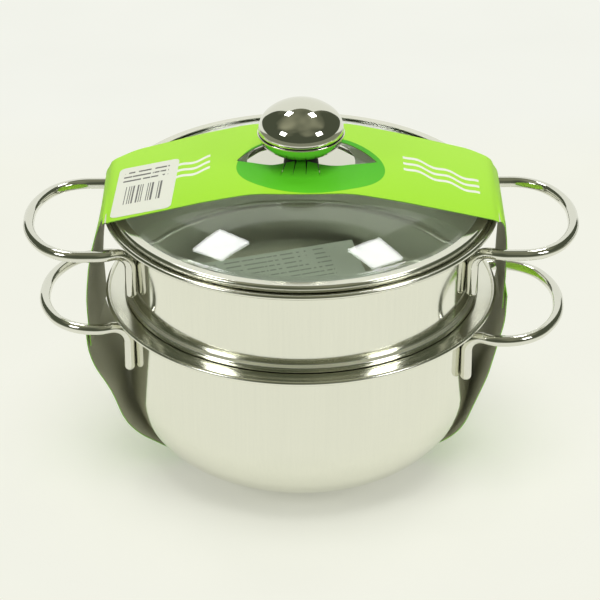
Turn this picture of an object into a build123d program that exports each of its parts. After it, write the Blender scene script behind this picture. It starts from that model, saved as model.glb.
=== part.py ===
from build123d import *
import math
import os

# A steamer set, stacked as it stands on the hob: a bellied pot, a steamer basket that seats on the
# pot's rim, a domed glass lid with a round steel knob, and the card sleeve that holds them together.
# Millimetres. Z is up, z = 0 is what the set stands on, the handles point along X.

# Driving dimensions
rim_radius = 105.0        # outside of the rolled rim, alike on pot and basket
bead_radius = 1.3         # half the thickness of the rolled rim
sheet = 0.8               # steel of pot and basket
pot_height = 98.4         # underside of the base to the middle of the pot's rolled rim
basket_rise = 50.0        # pot's rim to basket's rim
basket_depth = 76.6       # basket's rim down to the middle of its floor
wire_radius = 3.0         # steel wire of the four handles
leg_half = 36.0           # half the distance between a handle's two legs
card = 0.5                # thickness of the sleeve's card
knob_radius = 22.5        # widest radius of the knob
lid_rise = 18.6           # crown of the glass above the lid's band

# Clearances and fits
seat_gap = 0.2            # between a piece that lifts off and what it rests on
weld_gap = 0.05           # between a handle's leg and the wall it is spot welded to
lap_gap = 1.3             # between the two thicknesses of card at a lap
bore_gap = 0.1            # round a screw or an edge in its hole or channel
cut_over = 5.0            # how far a cutting tool runs past the face it cuts

full_turn = 360.0
quarter_turn = full_turn / 4
base_level = card         # the pot's base stands on the sleeve


def beside(points, distance):
    """Corners of the line that runs beside the given one, at that distance to its left."""
    line = [Vector(*point) for point in points]
    ways = [(after - before).normalized() for before, after in zip(line, line[1:])]
    lefts = [Vector(-way.Y, way.X) for way in ways]
    corners = [line[0] + lefts[0] * distance]
    for corner, left, next_left in zip(line[1:], lefts, lefts[1:]):
        corners.append(corner + (left + next_left) * (distance / (1 + left.dot(next_left))))
    corners.append(line[-1] + lefts[-1] * distance)
    return corners


def sheet_face(points, bends, thickness):
    """Section of bent sheet: the corners of its middle line, and the bend radius at each corner."""
    line = [Vector(*point) for point in points]
    turns = []
    for before, corner, after in zip(line, line[1:], line[2:]):
        turns.append(math.copysign(1, (corner - before).cross(after - corner).Z))
    sides = []
    for side in (thickness / 2, -thickness / 2):
        radii = [bend - side * turn for bend, turn in zip(bends, turns)]
        sides.append(FilletPolyline(*beside(points, side), radius=radii))
    ends = [Line(sides[0] @ 0, sides[1] @ 0), Line(sides[0] @ 1, sides[1] @ 1)]
    return make_face([*sides[0].edges(), *sides[1].edges(), *ends])


def turned(face):
    """Solid of revolution about Z of a section drawn as (radius, height)."""
    return revolve(Plane.XZ * face, Axis.Z, full_turn)


def ring_face(inner, outer, low, high):
    """Section of a flat ring about Z."""
    outline = Polyline((inner, low), (outer, low), (outer, high), (inner, high), close=True)
    return make_face(outline.edges())


def ring(inner, outer, low, high):
    """Flat ring about Z."""
    return turned(ring_face(inner, outer, low, high))


def save(shape, name):
    """Write one sub-part as its own STEP file."""
    export_step(shape, f"parts/{name}.step")


# Rim shared by pot and basket: a flat ledge inside a rolled bead
bead_place = rim_radius - bead_radius
rim_bend = 1.6
pot_rim = base_level + pot_height
basket_rim = pot_rim + basket_rise
ledge_top = sheet / 2     # of either rim, above the bead's middle


def rim_bead(rim_height):
    """Round section of the rolled edge."""
    return Pos(bead_place, rim_height) * Circle(bead_radius)


# Pot: one drawn steel body with a large belly radius, on an encapsulated base
pot_ledge = 11.1          # width of ledge and bead, from the wall's outside to the rim's
pot_wall = rim_radius - pot_ledge
pot_taper = 1.0           # how much less that is at the bottom
belly_radius = 45.0       # outside radius of the bend from wall to bottom
base_inset = 55.0         # rim's radius less the base's
base_radius = rim_radius - base_inset
base_sheet = 0.6          # steel cap under the base
base_core = 3.8           # aluminium plate inside the base
pot_bottom = base_level + base_sheet + base_core


def pot_body():
    """Drawn body with its ledge and rolled rim."""
    middle = [
        (0, pot_bottom + sheet / 2),
        (pot_wall - pot_taper - sheet / 2, pot_bottom + sheet / 2),
        (pot_wall - sheet / 2, pot_rim),
        (bead_place, pot_rim),
    ]
    section = sheet_face(middle, [belly_radius - sheet / 2, rim_bend], sheet)
    return turned(section + rim_bead(pot_rim))


def pot_base_core():
    """Aluminium heat plate pressed between the body and the base cap."""
    return ring(0, base_radius - base_sheet, base_level + base_sheet, pot_bottom)


def pot_base_cap():
    """Steel cap that wraps the heat plate."""
    cap_bend = base_sheet
    middle = [
        (0, base_level + base_sheet / 2),
        (base_radius - base_sheet / 2, base_level + base_sheet / 2),
        (base_radius - base_sheet / 2, pot_bottom),
    ]
    return turned(sheet_face(middle, [cap_bend], base_sheet)) - pot_base_core()


def pot_wall_at(height):
    """Outside radius of the pot's straight wall at a height."""
    return pot_wall - pot_taper * (pot_rim - height) / (pot_rim - pot_bottom)


# Handles: one bent wire each, its two legs spot welded to the wall
leg_drop = 27.5           # loop's level down to the legs' ends
handle_bend = 10.0        # bend from leg to arm
arm_spread = 6.0          # how much further apart the arms are than the legs
spread_reach = 14.0       # where the arms have spread, outward from the legs
spread_bend = 18.0
loop_shoulder = 16.0      # the loop starts to close this far short of its tip
loop_tip_half = 17.0      # half the width of its blunt tip, before rounding
loop_side_bend = 26.0
loop_tip_bend = 50.0
arm_straight = 0.3        # least straight length of an arm
pot_loop_drop = 7.4       # from the pot's rim down to its handles
pot_loop_level = pot_rim - pot_loop_drop
pot_overhang = 36.4       # how far the loop stands out past the rim
pot_turn = -3.7           # degrees that the pot stands turned from the basket above it
basket_loop_drop = 9.9
basket_loop_level = basket_rim - basket_loop_drop
basket_overhang = 42.6


def wire_handle(wall_at, level, overhang):
    """Handle on the +X side: leg, bend, spreading arm, round end, and the same back."""
    wall_radius = wall_at(level - handle_bend)
    leg_out = math.sqrt((wall_radius + wire_radius + weld_gap) ** 2 - leg_half ** 2)
    tip = rim_radius + overhang - wire_radius
    arm_half = leg_half + arm_spread
    half = [
        (leg_out, leg_half, level - leg_drop + wire_radius),
        (leg_out, leg_half, level),
        (leg_out + spread_reach, arm_half, level),
        (tip - loop_shoulder, arm_half, level),
        (tip, loop_tip_half, level),
    ]
    points = half + [(x, -y, z) for x, y, z in reversed(half)]
    # The side bend is no larger than the straight arm before it allows
    spread_turn = math.atan2(arm_spread, spread_reach)
    side_turn = math.atan2(arm_half - loop_tip_half, loop_shoulder)
    straight = tip - loop_shoulder - leg_out - spread_reach - spread_bend * math.tan(spread_turn / 2)
    side_bend = min(loop_side_bend, (straight - arm_straight) / math.tan(side_turn / 2))
    radii = [handle_bend, spread_bend, side_bend, loop_tip_bend]
    path = FilletPolyline(*points, radius=radii + radii[::-1])
    section = Plane(origin=half[0], z_dir=(0, 0, 1)) * Circle(wire_radius)
    wire = sweep(section, path)
    for x, y, z in (points[0], points[-1]):
        wire = wire + Pos(x, y, z) * Sphere(wire_radius)
    return wire


def about(angle, shape):
    """The same piece turned about Z."""
    return Rot(0, 0, angle) * shape


# Basket: drawn body with a rolled seat that rests on the pot's ledge, and a punched floor
basket_ledge = 12.4       # width of its ledge and bead, measured just above the seat
basket_wall = rim_radius - basket_ledge
basket_flare = 1.3        # how much more that is under the rim
seat_land = 0.9           # how far the rolled seat reaches out past the pot's wall
seat_radius = pot_wall + seat_land
seat_height = 3.4
seat_bend = 0.9
skirt_gap = 1.2           # between the pot's wall and the skirt that hangs in it, at its top
skirt_taper = 1.3         # how much narrower the skirt is at its foot
skirt_top = pot_wall - sheet - skirt_gap
skirt_foot = skirt_top - skirt_taper
foot_bend = 8.0
floor_level = basket_rim - basket_depth
hole_radius = 3.0
hole_pitch = 15.0
hole_rings = 4
holes_more = 6            # holes that each ring has more than the last


def basket_wall_at(height):
    """Outside radius of the basket's wall, between its seat and its rim, at a height."""
    return basket_wall + basket_flare * (height - pot_rim) / basket_rise


def basket_body():
    """Drawn body with its seat, ledge and rolled rim, and the steam holes in its floor."""
    seat_low = pot_rim + ledge_top + seat_gap
    half = sheet / 2
    middle = [
        (0, floor_level),
        (skirt_foot - half, floor_level),
        (skirt_top - half, seat_low - half),
        (seat_radius - half, seat_low + half),
        (seat_radius - half, seat_low + seat_height - sheet),
        (basket_wall - half, seat_low + seat_height + half),
        (basket_wall + basket_flare - half, basket_rim),
        (bead_place, basket_rim),
    ]
    bends = [foot_bend, seat_bend, seat_bend, seat_bend, seat_bend, rim_bend]
    body = turned(sheet_face(middle, bends, sheet) + rim_bead(basket_rim))
    punch = Cylinder(hole_radius, sheet + 2 * cut_over)
    punches = [Pos(0, 0, floor_level) * punch]
    for row in range(1, hole_rings + 1):
        for spot in PolarLocations(row * hole_pitch, row * holes_more):
            punches.append(Pos(0, 0, floor_level) * spot * punch)
    return body - punches


# Lid: domed tempered glass in a crimped steel band
band_margin = 1.2         # between the lid's band and the bead round it
band_radius = rim_radius - 2 * bead_radius - band_margin
band_sheet = 0.5
band_lip = 5.4            # how far the band's lips reach in over the glass
band_bend = 1.5
glass = 2.9               # thickness
glass_edge_gap = 0.3      # between the glass's edge and the band's back
glass_edge_share = 0.45   # rounding of the edge, of the glass's thickness
crown_radius = 16.0       # flat middle of the dome, where the knob stands
flat_edge = 7.7           # from the band's outside in to where the dome starts
dome_foot = band_radius - flat_edge
foot_round = 9.0
bolt_hole = 4.0
band_low = basket_rim + ledge_top + seat_gap
glass_low = band_low + band_sheet + bore_gap
band_top = glass_low + glass + bore_gap + band_sheet
crown = band_top + lid_rise


def lid_rim_band():
    """Steel channel crimped round the edge of the glass."""
    lip = band_radius - band_lip
    wall = band_radius - band_sheet / 2
    low = band_low + band_sheet / 2
    top = band_top - band_sheet / 2
    middle = [(lip, low), (wall, low), (wall, top), (lip, top)]
    return turned(sheet_face(middle, [band_bend, band_bend], band_sheet))


def dome_line(drop):
    """Arc of the dome from its flat crown to its foot, and the height it ends at."""
    start = Vector(crown_radius, crown - drop)
    fall = crown - glass_low - glass
    run = dome_foot - crown_radius
    dome_radius = (run ** 2 + fall ** 2) / (2 * fall) - drop
    sweep_angle = math.degrees(math.asin(run / (dome_radius + drop)))
    middle = Vector(crown_radius, crown - drop - dome_radius)
    return CenterArc(middle, dome_radius, quarter_turn, -sweep_angle), start


def lid_glass():
    """Tempered glass: flat edge in the band, dome, flat crown with a hole for the screw."""
    upper, upper_start = dome_line(0)
    lower, lower_start = dome_line(glass)
    edge = band_radius - band_sheet - glass_edge_gap
    top = glass_low + glass
    foot = upper @ 1
    inner_foot = lower @ 1
    outline = [
        Line((bolt_hole, crown), upper_start),
        upper,
        Line(foot, (edge, top)),
        Line((edge, top), (edge, glass_low)),
        Line((edge, glass_low), inner_foot),
        lower,
        Line(lower_start, (bolt_hole, crown - glass)),
        Line((bolt_hole, crown - glass), (bolt_hole, crown)),
    ]
    section = make_face([edge for line in outline for edge in line.edges()])
    section = fillet(section.vertices().sort_by_distance((foot.X, foot.Y))[0], foot_round)
    section = fillet(section.vertices().group_by(Axis.X)[-1], glass * glass_edge_share)
    return turned(section)


# Knob: two spun steel shells snapped on a moulded core, held through the glass by one screw
gasket = 1.0
gasket_radius = 14.0
plate = 0.8
plate_radius = 28.5
plate_turn_down = 0.9     # how far the plate's edge is pressed down towards the glass
plate_edge = 4.5          # width of that edge
knob_stand = 4.2          # neck that shows between plate and knob
knob_upper = 16.0         # knob's widest level up to its top
knob_lower = 13.7         # knob's widest level down to its underside
knob_upper_round = 12.0   # rounding of its side above the widest level
knob_lower_round = 10.0
knob_shell = 0.8
seam_drop = 1.4           # seam between the shells, below the widest level
seam_gap = 0.3
neck_radius = 9.0
core_flange = 3.2         # thickness of the flange that holds the shells
core_gap = 0.3
insert_radius = 4.0
insert_length = 10.0
screw_radius = 2.5
screw_bite = 8.0          # how far the screw reaches into the insert
head_radius = 5.0
head_height = 3.0
head_slot = 1.2
head_slot_depth = 1.4
washer = 1.0
washer_radius = 8.0
under_gasket_radius = 10.0
plate_low = crown + gasket
neck_low = plate_low + plate
knob_low = neck_low + knob_stand
knob_middle = knob_low + knob_lower
seam_level = knob_middle - seam_drop
shell_opening = neck_radius + core_gap
glass_under = crown - glass
stack_low = glass_under - gasket - washer


def knob_half(high, side_round, inset, up):
    """Half of the knob's outline from its widest level: a side arc, then the arc of its crown."""
    side_centre = knob_radius - side_round
    crown_round = (side_centre ** 2 + high ** 2 - side_round ** 2) / (2 * (high - side_round))
    tilt = math.degrees(math.atan2(crown_round - high, side_centre))
    side = CenterArc((side_centre, knob_middle), side_round - inset, 0, up * tilt)
    middle = (0, knob_middle + up * (high - crown_round))
    crown_arc = CenterArc(middle, crown_round - inset, up * tilt, up * (quarter_turn - tilt))
    return side, crown_arc


def knob_section(inset):
    """Section of the knob's flattened ball, or of the space inside its shells."""
    upper = knob_half(knob_upper, knob_upper_round, inset, 1)
    lower = knob_half(knob_lower, knob_lower_round, inset, -1)
    axis_line = Line((0, knob_middle - knob_lower + inset), (0, knob_middle + knob_upper - inset))
    return make_face([edge for line in (*upper, *lower, axis_line) for edge in line.edges()])


def knob_upper_shell():
    """Upper shell, down to the seam."""
    above = ring_face(0, knob_radius + cut_over, seam_level + seam_gap / 2, knob_middle + knob_radius)
    return turned((knob_section(0) - knob_section(knob_shell)) & above)


def knob_lower_shell():
    """Lower shell, from the seam to the round opening for the neck."""
    low = knob_low - cut_over
    below = ring_face(shell_opening, knob_radius + cut_over, low, seam_level - seam_gap / 2)
    return turned((knob_section(0) - knob_section(knob_shell)) & below)


def knob_core():
    """Moulded core: neck, flange that the shells snap over, and a post for the brass insert."""
    inside = knob_section(knob_shell + core_gap)
    half = core_flange / 2
    neck = ring_face(0, neck_radius, neck_low, seam_level)
    flange = ring_face(0, knob_radius, seam_level - half, seam_level + half) & inside
    socket = ring_face(0, insert_radius, neck_low - cut_over, neck_low + plate + insert_length)
    return turned(neck + flange - socket)


def knob_insert():
    """Threaded brass insert moulded into the core, its thread left plain."""
    low = neck_low + plate
    return ring(screw_radius + weld_gap, insert_radius, low, low + insert_length)


def knob_base_plate():
    """Polished round plate between the knob and the glass, its edge pressed down."""
    middle = [
        (screw_radius + bore_gap, plate_low + plate / 2),
        (plate_radius - plate_edge, plate_low + plate / 2),
        (plate_radius, plate_low + plate / 2 - plate_turn_down),
    ]
    return turned(sheet_face(middle, [plate_edge * 2], plate))


def knob_gasket():
    """Silicone ring between the plate and the glass."""
    return ring(screw_radius + bore_gap, gasket_radius, crown, plate_low)


def knob_under_gasket():
    """Silicone ring under the glass, with a collar that centres the screw in its hole."""
    base = ring(screw_radius + bore_gap, under_gasket_radius, glass_under - gasket, glass_under)
    collar_top = glass_under + glass / 2
    collar = ring(screw_radius + bore_gap, bolt_hole - bore_gap, glass_under - gasket, collar_top)
    return base + collar


def knob_washer():
    """Steel washer under the screw's head."""
    return ring(screw_radius + bore_gap, washer_radius, stack_low, glass_under - gasket)


def knob_screw():
    """Slotted screw, its thread left plain."""
    head = ring(0, head_radius, stack_low - head_height, stack_low)
    shank = ring(0, screw_radius, stack_low - head_height, neck_low + plate + screw_bite)
    slot = Box(2 * head_radius + cut_over, head_slot, head_slot_depth * 2)
    return head + shank - Pos(0, 0, stack_low - head_height) * slot


# Sleeve: printed card round the whole stack, glued in laps at both sides
strip_gap = 4.0           # between the side strips and the handles' legs
fold_step = 6.5           # how much wider the panel is at its folds than the strips, on each side
crown_step = 3.0          # how much wider again at the knob
strip_half = leg_half - wire_radius - strip_gap
fold_half = strip_half + fold_step
panel_half = fold_half + crown_step
panel_gap = 0.65          # between the knob's base plate and the card
panel_flat = 26.0         # half the length of the panel's level stretch
knee_drop = 5.3           # from that stretch down to the knee
knee_bend = 60.0
fold_gap = 3.2            # from the lid's band up to the middle of the card at its folds
fold_bend = 10.0
side_bend = 90.0
panel_level = neck_low + panel_gap + card / 2
knee_level = panel_level - knee_drop
fold_level = band_top + fold_gap
knee_share = 0.495        # out to the knee, of the rim's radius
left_fold_share = 0.985
right_fold_share = 1.006
panel_knee = rim_radius * knee_share
left_fold = rim_radius * left_fold_share
right_fold = rim_radius * right_fold_share
slot_half = 37.0          # half the length of the eye-shaped opening for the knob
slot_shift = 3.0          # its middle lies this far to the right
slot_front = 11.0         # its edge in front of the knob
slot_back = 21.0          # its edge behind the knob
corner_run = 15.0         # length over which the panel's rear corners are drawn in
corner_round = 20.0
# Shoulder, belly and end of each strip: shares of the rim's radius and of the basket rim's height
left_strip_shares = [(1.057, 0.900), (1.085, 0.712), (1.070, 0.524)]
right_strip_shares = [(1.027, 0.913), (1.023, 0.799), (1.015, 0.672)]


def sleeve_points(shares):
    """Corners of the sleeve's side, each as (distance from the middle, height)."""
    return [(rim_radius * out, basket_rim * up) for out, up in shares]


left_strip = sleeve_points(left_strip_shares)
right_strip = sleeve_points(right_strip_shares)
sleeve_reach = max(out for out, up in left_strip + right_strip) + cut_over


def sleeve_line():
    """Middle line of the upper card, seen from the front, from left end to right end."""
    knee = (panel_knee, knee_level)
    left = [*left_strip[::-1], (left_fold, fold_level), knee]
    right = [*right_strip[::-1], (right_fold, fold_level), knee]
    points = [(-x, z) for x, z in left] + [(-panel_flat, panel_level), (panel_flat, panel_level)]
    points += reversed(right)
    bends = [side_bend, side_bend, fold_bend, knee_bend, knee_bend]
    return points, bends + bends[::-1]


def sleeve_top_card():
    """Upper card: top panel with the opening for the knob, folds, and the strips inside the handles."""
    points, bends = sleeve_line()
    band = extrude(Plane.XZ * sheet_face(points, bends, card), panel_half, both=True)
    rear = [
        (-sleeve_reach, strip_half), (-left_fold, strip_half), (corner_run - left_fold, fold_half),
        (0, panel_half),
        (right_fold - corner_run, fold_half), (right_fold, strip_half), (sleeve_reach, strip_half),
    ]
    front = [
        (sleeve_reach, -strip_half), (right_fold, -strip_half), (right_fold, -fold_half),
        (0, -panel_half),
        (-left_fold, -fold_half), (-left_fold, -strip_half), (-sleeve_reach, -strip_half),
    ]
    outline = make_face(Polyline(*rear, *front, close=True).edges())
    corners = outline.vertices().filter_by(lambda corner: corner.Y > strip_half and corner.X != 0)
    plan = extrude(fillet(corners, corner_round), panel_level + cut_over)
    opening = make_face([
        *ThreePointArc(
            (slot_shift - slot_half, 0), (slot_shift, slot_back), (slot_shift + slot_half, 0)).edges(),
        *ThreePointArc(
            (slot_shift + slot_half, 0), (slot_shift, -slot_front), (slot_shift - slot_half, 0)).edges(),
    ])
    hole = Pos(0, 0, knee_level - cut_over) * extrude(opening, panel_level)
    return (band & plan) - hole


# Strap: the sleeve's lower card, under the base and up both sides outside the strips' ends
strap_foot_share = 0.571  # out to where the strap leaves the ground, of the rim's radius
strap_foot_half = 19.0    # half its width under the pot
flank_bend = 38.0
hip_bend = 60.0
lap_bend = 40.0           # below each lap
lap_run = 8.0             # how far the strap runs straight on below the strip's end
left_lap_share = 0.578    # top end of the strap that laps the strip, of the basket rim's height
right_lap_share = 0.722
left_slack = 1.6          # between the strap and the pot's belly
right_slack = 0.3
left_flank_share = 0.895  # out to where the strap turns up from the belly, of the rim's radius
right_flank_share = 0.824
# Hip of the strap on each side: shares of the rim's radius and of the height of the belly
left_hip_shares = (0.971, 1.0)
right_hip_shares = (0.952, 1.164)
belly_top = pot_bottom + belly_radius
belly_middle = pot_wall - pot_taper - belly_radius
strap_foot = rim_radius * strap_foot_share


def along(low, high, level):
    """Point at a level on the straight line between two points."""
    share = (level - low[1]) / (high[1] - low[1])
    return low[0] + (high[0] - low[0]) * share


def strap_side(strip, lap_level, slack, flank_out, hip_shares):
    """One side of the strap from its lap down to its flank, and its bends down to the ground."""
    belly, end = strip[1:]
    off = card + lap_gap
    top = (along(end, belly, lap_level) + off, lap_level)
    low_level = end[1] - lap_run
    low = (along(end, belly, low_level) + off, low_level)
    hip = (rim_radius * hip_shares[0], belly_top * hip_shares[1])
    # From its foot the strap rises in a line that clears the belly by the slack
    inward = strap_foot - belly_middle
    upward = belly_top - card / 2
    clear = belly_radius + slack + card / 2
    rise = math.atan2(upward, -inward) - math.asin(clear / math.hypot(inward, upward))
    flank = (flank_out, card / 2 + (flank_out - strap_foot) * math.tan(rise))
    # The foot's bend starts at the edge of the pot's base
    foot_bend = (strap_foot - base_radius) / math.tan(rise / 2)
    return [top, low, hip, flank], [lap_bend, hip_bend, flank_bend, foot_bend]


def sleeve_strap():
    """Lower card of the sleeve, its ends lapping the strips of the upper card."""
    left, left_bends = strap_side(
        left_strip, basket_rim * left_lap_share, left_slack,
        rim_radius * left_flank_share, left_hip_shares)
    right, right_bends = strap_side(
        right_strip, basket_rim * right_lap_share, right_slack,
        rim_radius * right_flank_share, right_hip_shares)
    points = [(-x, z) for x, z in left] + [(-strap_foot, card / 2), (strap_foot, card / 2)]
    points += right[::-1]
    section = sheet_face(points, left_bends + right_bends[::-1], card)
    band = extrude(Plane.XZ * section, strip_half, both=True)
    rear = [
        (-sleeve_reach, strip_half), (-left[2][0], strip_half), (-strap_foot, strap_foot_half),
        (strap_foot, strap_foot_half), (right[2][0], strip_half), (sleeve_reach, strip_half),
    ]
    front = [(x, -y) for x, y in reversed(rear)]
    plan = extrude(make_face(Polyline(*rear, *front, close=True).edges()), basket_rim)
    return band & plan


# Paper: a blank sticker on the sleeve, and a leaflet lying in the basket
label_long = 32.0
label_wide = 50.0
label_paper = 0.15
label_inset = 21.4        # its middle, in from the left fold
label_front = -10.5       # its middle, in front of the knob
label_turn = -4.0         # degrees
leaflet_wide_share = 1.015    # of the basket's radius at its floor, as are the next two
leaflet_flat_share = 0.773    # the part that lies on the floor
leaflet_curl_share = 0.243    # the part that curls up at the rear wall
leaflet_rise = 9.0
leaflet_paper = 0.6
leaflet_bend = 30.0
leaflet_x = 0.5           # middle of the leaflet
leaflet_back_share = 0.27     # how far back its middle lies, of the same radius
leaflet_turn = 18.5       # degrees


def sleeve_label():
    """Sticker on the sloping left half of the panel."""
    run = left_fold - panel_knee
    fall = knee_level - fold_level
    slope = math.degrees(math.atan2(fall, run))
    level = fold_level + fall * label_inset / run
    sticker = Rot(0, 0, label_turn) * Box(label_long, label_wide, label_paper)
    lift = (card + label_paper) / 2
    return Pos(label_inset - left_fold, label_front, level) * Rot(0, -slope, 0) * Pos(0, 0, lift) * sticker


def care_leaflet():
    """Folded leaflet lying on the basket's floor, its rear edge curled up."""
    leaflet_flat = skirt_foot * leaflet_flat_share
    length = leaflet_flat + skirt_foot * leaflet_curl_share
    wide = skirt_foot * leaflet_wide_share
    low = leaflet_paper / 2
    points = [(0, low), (leaflet_flat, low), (length, low + leaflet_rise)]
    section = sheet_face(points, [leaflet_bend], leaflet_paper)
    sheet_of_paper = extrude(Plane.YZ * section, wide / 2, both=True)
    lying = Pos(0, -length / 2, floor_level + sheet / 2) * sheet_of_paper
    return Pos(leaflet_x, skirt_foot * leaflet_back_share, 0) * Rot(0, 0, leaflet_turn) * lying


os.makedirs("parts", exist_ok=True)
save(pot_body(), "pot_body")
save(pot_base_core(), "pot_base_core")
save(pot_base_cap(), "pot_base_cap")
pot_handle = wire_handle(pot_wall_at, pot_loop_level, pot_overhang)
save(about(pot_turn, pot_handle), "pot_handle_right")
save(about(pot_turn + full_turn / 2, pot_handle), "pot_handle_left")
save(basket_body(), "basket_body")
basket_handle = wire_handle(basket_wall_at, basket_loop_level, basket_overhang)
save(basket_handle, "basket_handle_right")
save(about(full_turn / 2, basket_handle), "basket_handle_left")
save(lid_glass(), "lid_glass")
save(lid_rim_band(), "lid_rim_band")
save(knob_upper_shell(), "knob_upper_shell")
save(knob_lower_shell(), "knob_lower_shell")
save(knob_core(), "knob_core")
save(knob_insert(), "knob_insert")
save(knob_base_plate(), "knob_base_plate")
save(knob_gasket(), "knob_gasket")
save(knob_under_gasket(), "knob_under_gasket")
save(knob_washer(), "knob_washer")
save(knob_screw(), "knob_screw")
save(sleeve_top_card(), "sleeve_top_card")
save(sleeve_strap(), "sleeve_strap")
save(sleeve_label(), "sleeve_label")
save(care_leaflet(), "care_leaflet")
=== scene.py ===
import math

import bmesh
import bpy
from mathutils import Matrix, Vector


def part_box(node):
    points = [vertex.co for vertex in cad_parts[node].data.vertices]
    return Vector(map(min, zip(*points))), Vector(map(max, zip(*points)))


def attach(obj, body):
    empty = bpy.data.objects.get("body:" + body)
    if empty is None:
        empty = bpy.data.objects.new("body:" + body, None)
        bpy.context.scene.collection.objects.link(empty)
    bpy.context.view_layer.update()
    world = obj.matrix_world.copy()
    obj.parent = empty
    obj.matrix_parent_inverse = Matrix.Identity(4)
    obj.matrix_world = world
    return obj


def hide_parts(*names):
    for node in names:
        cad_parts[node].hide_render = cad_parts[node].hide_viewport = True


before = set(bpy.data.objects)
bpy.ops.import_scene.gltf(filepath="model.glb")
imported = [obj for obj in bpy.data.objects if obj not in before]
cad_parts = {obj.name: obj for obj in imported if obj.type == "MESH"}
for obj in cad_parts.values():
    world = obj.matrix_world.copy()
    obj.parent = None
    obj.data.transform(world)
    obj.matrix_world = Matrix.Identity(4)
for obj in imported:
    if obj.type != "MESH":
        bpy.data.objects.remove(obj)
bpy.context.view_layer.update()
mm = 0.001
bpy.ops.object.select_all(action="DESELECT")


# Camera: it looks down on the set from in front, a metre and a half away, through a long lens.
eye_distance = 1500 * mm
eye_elevation = math.radians(29.44)
eye_azimuth = math.radians(-0.5)
aim = Vector((0, 0, 90 * mm))
lens = 166.4
frame_shift = (-0.0018, -0.0023)
eye_way = Vector((
    math.sin(eye_azimuth) * math.cos(eye_elevation),
    -math.cos(eye_azimuth) * math.cos(eye_elevation),
    math.sin(eye_elevation),
))
bpy.ops.object.camera_add(location=aim + eye_way * eye_distance)
camera = bpy.context.object
camera.name = "camera"
camera.rotation_euler = (-eye_way).to_track_quat("-Z", "Y").to_euler()
camera.data.lens = lens
camera.data.shift_x, camera.data.shift_y = frame_shift
bpy.context.scene.camera = camera
bpy.context.scene.view_settings.view_transform = "Standard"


class Value:
    """One output of a shader node, on which a finish does its sums."""

    def __init__(self, tree, socket=None):
        self.tree = tree
        self.socket = socket

    def node(self, kind, settings=None, sockets=None, output=0):
        """Add a node: its settings first, then the values or links of its sockets."""
        made = self.tree.nodes.new(kind)
        for name, value in (settings or {}).items():
            setattr(made, name, value)
        for name, value in (sockets or {}).items():
            socket = made.inputs[name]
            if isinstance(value, Value):
                self.tree.links.new(value.socket, socket)
            else:
                socket.default_value = (*value, 1) if socket.type == "RGBA" else value
        return Value(self.tree, made.outputs[output])

    def math(self, operation, *others):
        """A Math node on this value and others."""
        return self.node("ShaderNodeMath", {"operation": operation}, dict(enumerate((self, *others))))

    def __add__(self, other):
        return self.math("ADD", other)

    def __mul__(self, other):
        return self.math("MULTIPLY", other)

    def __sub__(self, other):
        return self.math("SUBTRACT", other)

    def __rsub__(self, other):
        return self * -1 + other

    __radd__ = __add__
    __rmul__ = __mul__

    def clamped(self):
        """The value, kept between 0 and 1."""
        return self.math("MINIMUM", 1).math("MAXIMUM", 0)

    def ramp(self, start, run):
        """0 up to a start, then rising evenly to 1 over a run."""
        return ((self - start) * (1 / run)).clamped()

    def within(self, low, high):
        """1 where the value lies between two limits, else 0."""
        return self.math("GREATER_THAN", low) * self.math("LESS_THAN", high)

    def axis(self, name):
        """One coordinate of a place."""
        return self.node("ShaderNodeSeparateXYZ", sockets={0: self}, output=name)

    def seen_by(self, ray):
        """1 for one kind of ray, else 0."""
        return self.node("ShaderNodeLightPath", output=f"Is {ray} Ray")

    def mapped(self, scale=(1, 1, 1), turn=0):
        """A place turned about Z, then scaled."""
        turned_place = self.node("ShaderNodeMapping", {"vector_type": "POINT"}, {
            "Vector": self, "Rotation": (0, 0, turn)})
        return turned_place.node("ShaderNodeMapping", sockets={"Vector": turned_place, "Scale": scale})

    def noise(self, scale, detail=2):
        """Noise about one half over a place."""
        return self.node("ShaderNodeTexNoise", sockets={
            "Vector": self, "Scale": scale, "Detail": detail})

    def colours(self, low, high):
        """Colour between two others, by a factor from 0 to 1."""
        return self.node("ShaderNodeMix", {"data_type": "RGBA"}, {
            "Factor": self, "A": low, "B": high}, output="Result")

    def bumps(self, height):
        """Normal disturbed by this value, so many metres high."""
        return self.node("ShaderNodeBump", sockets={"Height": self, "Distance": height})

    def feed(self, shader, socket):
        """Link this value to a socket of a shader."""
        self.tree.links.new(self.socket, shader.inputs[socket])


# Floor and backdrop: a pale table that runs back into a pale curved wall. They show at their full
# colour to the eye, in steel and through glass, and the table near the set keeps its soft shadow.
# Steel shows the table darker where it is far out in front.
floor_drop = 0.2 * mm
stage_radius = 3.0
stage_sides = 96
wall_height = 4.5
wall_bend = 0.5
wall_bend_steps = 12
wall_half_turn = math.radians(36)
floor_colour = (0.89, 0.895, 0.80)
wall_colour = (0.89, 0.90, 0.83)
wall_start = 330 * mm
wall_blend = 90 * mm
table_far = (0.26, 0.27, 0.20)
table_reach = 480 * mm
table_edge = 80 * mm
glow_near = 0.14
glow_start = 20 * mm
glow_blend = 160 * mm
mottle_scale = 9
mottle_depth = 0.05
bpy.ops.mesh.primitive_circle_add(
    vertices=stage_sides, radius=stage_radius, fill_type="NGON", location=(0, 0, -floor_drop))
floor = bpy.context.object
floor.name = "floor"
bpy.ops.object.mode_set(mode="EDIT")
bpy.ops.mesh.select_mode(type="EDGE")
edit = bmesh.from_edit_mesh(floor.data)
wall_edge = stage_radius * math.cos(wall_half_turn)
for edge in edit.edges:
    edge.select_set(all(vertex.co.y > wall_edge for vertex in edge.verts))
bmesh.update_edit_mesh(floor.data)
bpy.ops.mesh.extrude_edges_move(TRANSFORM_OT_translate={"value": (0, 0, wall_height)})
edit = bmesh.from_edit_mesh(floor.data)
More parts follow.
